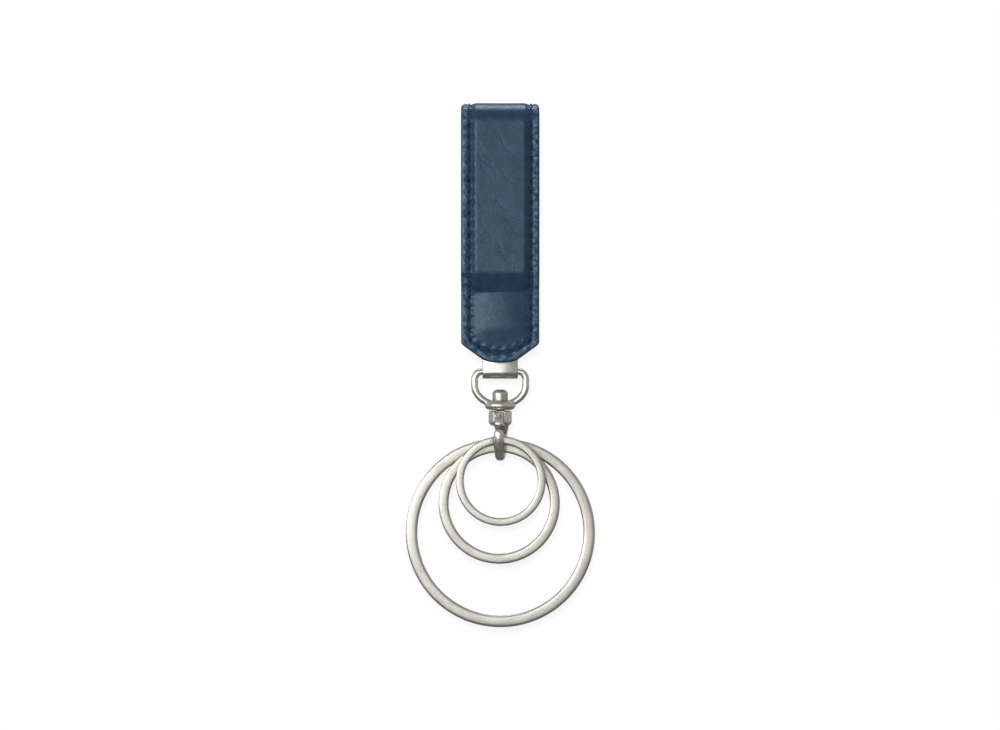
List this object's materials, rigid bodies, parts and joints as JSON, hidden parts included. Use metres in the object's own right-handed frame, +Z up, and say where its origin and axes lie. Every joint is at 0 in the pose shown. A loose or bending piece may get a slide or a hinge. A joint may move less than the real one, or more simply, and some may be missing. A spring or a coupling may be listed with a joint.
{
  "type": "belt clip key ring",
  "caption": "Leather-covered spring belt clip with a D-ring, a swivel snap hook and nested flat split rings in satin nickel.",
  "frame": {"origin": "middle of the belt space, on the face of the front leaf that rests against the belt", "axes": "+Z up along the hanging clip, the front faces -Y, +X to the right"},
  "size_m": [0.0497, 0.0158, 0.1373],
  "materials": {
    "leather": "glossy navy leather with fine creases",
    "lining": "smooth navy lining leather",
    "thread": "dark navy polyester thread",
    "spring_steel": "satin nickel plated spring steel",
    "nickel": "satin nickel plating"
  },
  "bodies": {
    "clip_front": {"outer_leather_front": "leather", "lining_front": "lining", "spring_plate_front": "spring_steel", "thread_front": "thread"},
    "clip_back": {"outer_leather_back": "leather", "lining_back": "lining", "spring_plate_back": "spring_steel", "thread_back": "thread"},
    "d_ring": {"d_ring": "nickel"},
    "snap_hook": {"hook_body": "nickel", "swivel_pin": "nickel", "gate_pin": "nickel", "gate_spring": "spring_steel"},
    "gate": {"gate": "nickel"},
    "ring_small": {"split_ring_small": "nickel"},
    "ring_medium": {"split_ring_medium": "nickel"},
    "ring_large": {"split_ring_large": "nickel"}
  },
  "joints": [
    {"name": "clip_flex", "type": "hinge", "parent": "clip_front", "child": "clip_back", "pos_m": [0, 0.0025, 0.0215], "axis": [1, 0, 0], "range_deg": [0, 12], "stiffness_Nm_per_rad": 1.2},
    {"name": "d_ring_swing", "type": "hinge", "parent": "clip_front", "child": "d_ring", "pos_m": [0, 0.00615, -0.0471], "axis": [1, 0, 0], "range_deg": [-90, 110]},
    {"name": "hook_swivel", "type": "hinge", "parent": "d_ring", "child": "snap_hook", "pos_m": [0, 0.00615, -0.056], "axis": [0, 0, 1], "continuous": true},
    {"name": "gate_open", "type": "hinge", "parent": "snap_hook", "child": "gate", "pos_m": [-0.00018, 0.00356, -0.05875], "axis": [0.9976, -0.0698, 0], "range_deg": [0, 35], "stiffness_Nm_per_rad": 0.002, "deforming": ["gate_spring"]},
    {"name": "ring_small_turn", "type": "hinge", "parent": "snap_hook", "child": "ring_small", "pos_m": [0.00015, 0.00312, -0.0757], "axis": [0, 1, 0], "continuous": true},
    {"name": "ring_medium_swing", "type": "hinge", "parent": "snap_hook", "child": "ring_medium", "pos_m": [0, 0.00588, -0.0697], "axis": [0, 1, 0], "range_deg": [-60, 60]},
    {"name": "ring_large_swing", "type": "hinge", "parent": "snap_hook", "child": "ring_large", "pos_m": [0, 0.00808, -0.06895], "axis": [0, 1, 0], "range_deg": [-45, 45]}
  ]
}
